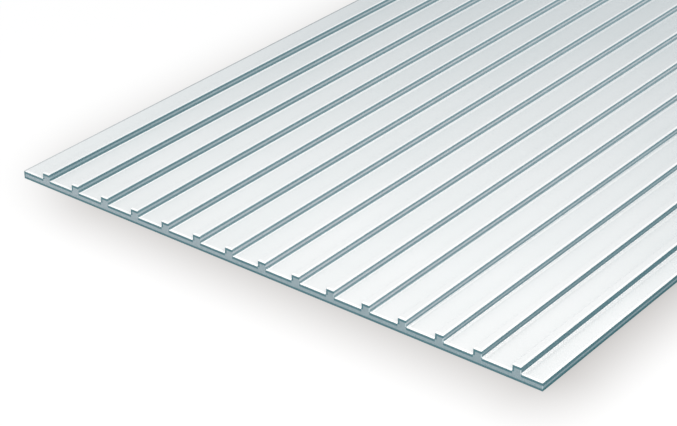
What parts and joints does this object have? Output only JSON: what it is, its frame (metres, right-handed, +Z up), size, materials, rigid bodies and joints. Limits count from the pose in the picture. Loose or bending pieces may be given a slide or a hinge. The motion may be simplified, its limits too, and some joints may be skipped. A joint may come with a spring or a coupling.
{
  "type": "standing seam roof panel",
  "caption": "Flat rectangular sheet of opaque white plastic with straight, evenly spaced square seams standing along its length, made to look like standing seam roofing on a model building.",
  "frame": {"origin": "centre of the underside, on the surface that the sheet lies on", "axes": "+X across the seams, +Y along the seams, away from the end that the picture shows in front, +Z up, out of the seamed face"},
  "size_m": [0.15, 0.3, 0.0037],
  "materials": {
    "white_sheet": "satin white, opaque, moulded in one colour"
  },
  "bodies": {
    "root": {"seamed_sheet": "white_sheet"}
  },
  "joints": []
}
